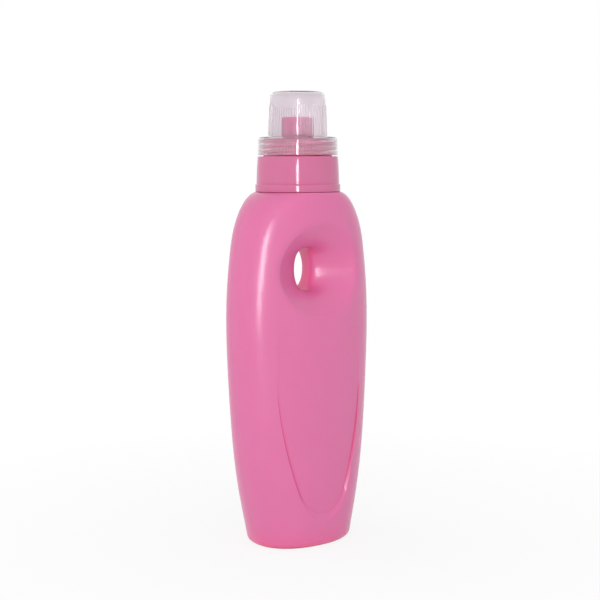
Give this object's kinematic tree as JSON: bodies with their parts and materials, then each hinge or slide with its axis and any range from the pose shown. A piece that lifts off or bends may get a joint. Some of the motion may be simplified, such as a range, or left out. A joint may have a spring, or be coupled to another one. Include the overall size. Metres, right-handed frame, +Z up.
{
  "type": "detergent bottle",
  "caption": "Tall oval detergent bottle with a flared finger opening through the shoulder, a push-fit spout collar and a see-through dosing cap that lifts off.",
  "frame": {"origin": "on the standing plane, under the neck axis, at the middle of the base", "axes": "+Z up along the neck, X across the wide face, Y through the finger opening"},
  "size_m": [0.113, 0.063, 0.3155],
  "materials": {
    "bottle_plastic": "satin pink blow-moulded polyethylene",
    "collar_plastic": "glossy pink moulded polypropylene",
    "cap_plastic": "see-through, slightly milky moulded polypropylene"
  },
  "bodies": {
    "bottle": {"bottle": "bottle_plastic", "spout_collar": "collar_plastic"},
    "cap": {"dosing_cap": "cap_plastic"}
  },
  "joints": [
    {"name": "cap_lift", "type": "slide", "parent": "bottle", "child": "cap", "axis": [0, 0, 1], "range_m": [0, 0.045]}
  ]
}
